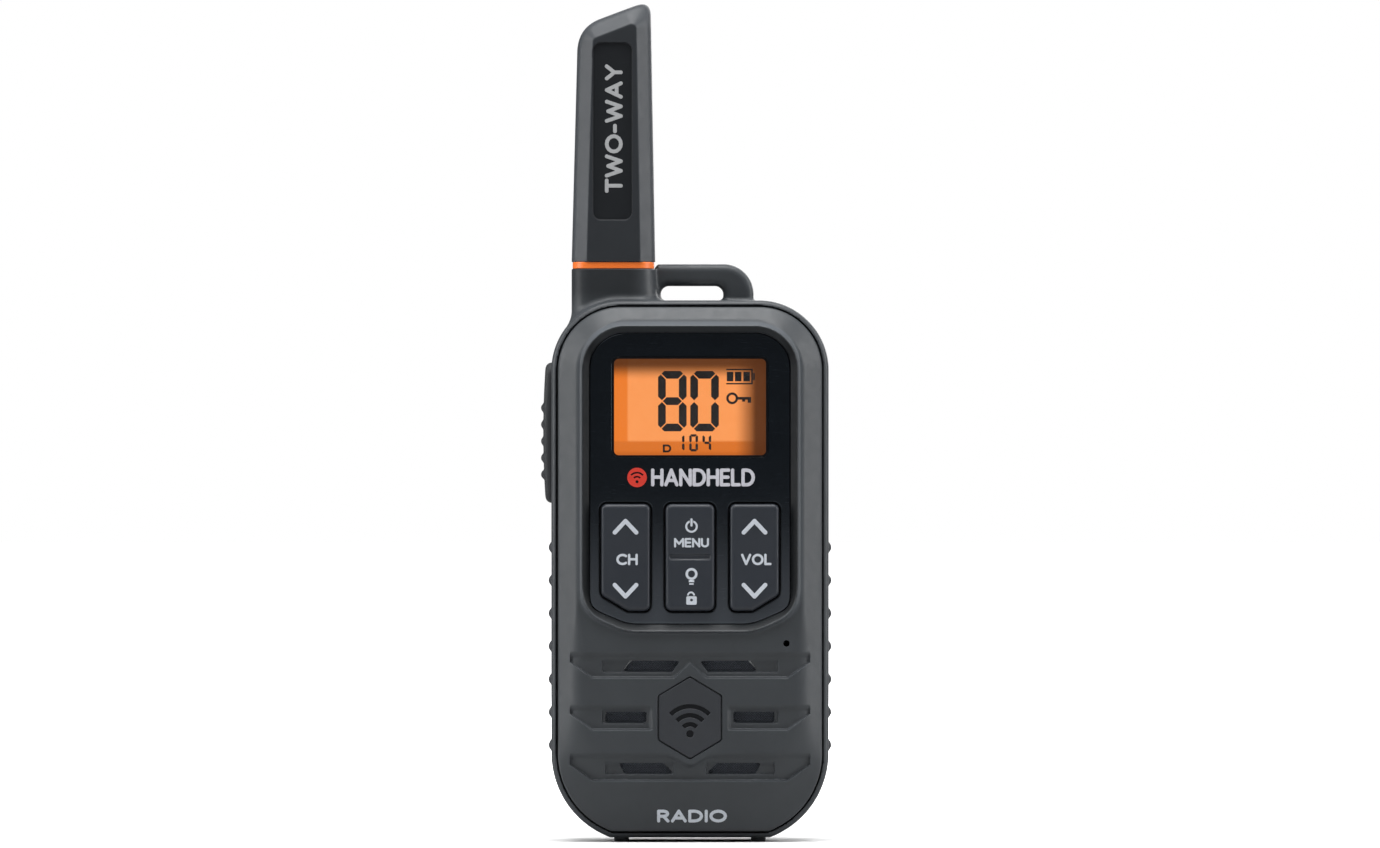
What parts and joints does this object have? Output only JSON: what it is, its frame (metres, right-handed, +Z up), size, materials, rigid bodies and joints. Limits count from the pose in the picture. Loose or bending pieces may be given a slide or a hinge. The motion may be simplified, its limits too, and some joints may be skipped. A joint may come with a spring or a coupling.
{
  "type": "walkie talkie",
  "caption": "Handheld two-way radio with a stub antenna, backlit display, rocker keys, side talk button, slotted speaker grille, belt clip and battery bay.",
  "frame": {"origin": "on the floor the radio stands on, under the middle of its whole footprint, belt clip included", "axes": "+Z up along the antenna, -Y out of the display side, +X to the right as seen from the display side"},
  "size_m": [0.0583, 0.037, 0.1678],
  "materials": {
    "case_plastic": "fine satin texture",
    "fascia_black": "polished",
    "window_clear": "clear, polished",
    "badge_dark": "satin",
    "key_plastic": "satin",
    "rubber_black": "matt",
    "orange_ring": "satin",
    "antenna_plastic": "fine satin texture",
    "steel": "plated",
    "spring_steel": "bright",
    "brass_contact": "plain",
    "copper_wire": "enamelled",
    "former_white": "plain",
    "wire_red": "satin sleeve",
    "wire_blue": "satin sleeve",
    "board_green": "solder mask",
    "chip_black": "moulded",
    "display_orange": "polarised, lit",
    "diffuser_white": "plain",
    "silicone_grey": "matt",
    "connector_pink": "striped",
    "cloth_black": "open weave",
    "cone_paper": "pressed",
    "cell_jacket": "printed sleeve, plain",
    "led_yellow": "clear dome",
    "port_black": "moulded",
    "clip_plastic": "fine satin texture"
  },
  "bodies": {
    "case": {"front_shell": "case_plastic", "rear_shell": "case_plastic", "seam_gasket": "rubber_black", "fascia_panel": "fascia_black", "display_window": "window_clear", "badge_plate": "badge_dark", "speaker_cloth": "cloth_black", "speaker_basket": "steel", "speaker_cone": "cone_paper", "speaker_magnet": "steel", "speaker_leads": "wire_red", "keypad_mat": "silicone_grey", "key_domes": "spring_steel", "display_glass": "display_orange", "display_backlight": "diffuser_white", "display_frame": "former_white", "display_connector": "connector_pink", "main_board": "board_green", "rf_shield": "steel", "board_chips": "chip_black", "board_screws": "steel", "microphone": "steel", "microphone_boot": "rubber_black", "microphone_leads": "wire_blue", "talk_switch": "port_black", "antenna_sleeve": "antenna_plastic", "antenna_ring": "orange_ring", "antenna_core": "former_white", "antenna_coil": "copper_wire", "antenna_feed": "brass_contact", "torch_lens": "window_clear", "torch_led": "led_yellow", "usb_socket": "steel", "headset_jack": "port_black", "battery_cells": "cell_jacket", "battery_springs": "spring_steel", "battery_contacts": "brass_contact", "battery_leads": "wire_red", "clip_base": "clip_plastic", "clip_pin": "steel", "clip_spring": "spring_steel", "clip_screws": "steel", "shell_screws": "steel", "left_grip": "rubber_black", "right_grip": "rubber_black"},
    "talk": {"talk_button": "rubber_black", "talk_plunger": "former_white"},
    "channel": {"channel_key": "key_plastic"},
    "menu": {"menu_key": "key_plastic"},
    "volume": {"volume_key": "key_plastic"},
    "clip": {"clip_lever": "clip_plastic"},
    "port_lid": {"port_cover": "rubber_black"},
    "door": {"battery_door": "case_plastic"},
    "latch": {"door_latch": "clip_plastic"}
  },
  "joints": [
    {"name": "talk_press", "type": "slide", "parent": "case", "child": "talk", "axis": [1, 0, 0], "range_m": [0, 0.001], "stiffness_N_per_m": 900},
    {"name": "channel_rock", "type": "hinge", "parent": "case", "child": "channel", "pos_m": [-0.0129, -0.0127, 0.0571], "axis": [1, 0, 0], "range_deg": [-2.5, 2.5], "stiffness_Nm_per_rad": 0.05},
    {"name": "menu_rock", "type": "hinge", "parent": "case", "child": "menu", "pos_m": [0, -0.0127, 0.0571], "axis": [1, 0, 0], "range_deg": [-2.5, 2.5], "stiffness_Nm_per_rad": 0.05},
    {"name": "volume_rock", "type": "hinge", "parent": "case", "child": "volume", "pos_m": [0.0129, -0.0127, 0.0571], "axis": [1, 0, 0], "range_deg": [-2.5, 2.5], "stiffness_Nm_per_rad": 0.05},
    {"name": "clip_open", "type": "hinge", "parent": "case", "child": "clip", "pos_m": [0, 0.0143, 0.098], "axis": [1, 0, 0], "range_deg": [0, 18], "stiffness_Nm_per_rad": 0.3, "deforming": ["clip_spring"]},
    {"name": "port_lid_open", "type": "hinge", "parent": "case", "child": "port_lid", "pos_m": [0.02735, -0.0048, 0.081], "axis": [0, 0, 1], "range_deg": [0, 100]},
    {"name": "door_lift", "type": "slide", "parent": "case", "child": "door", "axis": [0, 1, 0], "range_m": [0, 0.04]},
    {"name": "latch_slide", "type": "slide", "parent": "door", "child": "latch", "axis": [0, 0, 1], "range_m": [0, 0.002]}
  ]
}
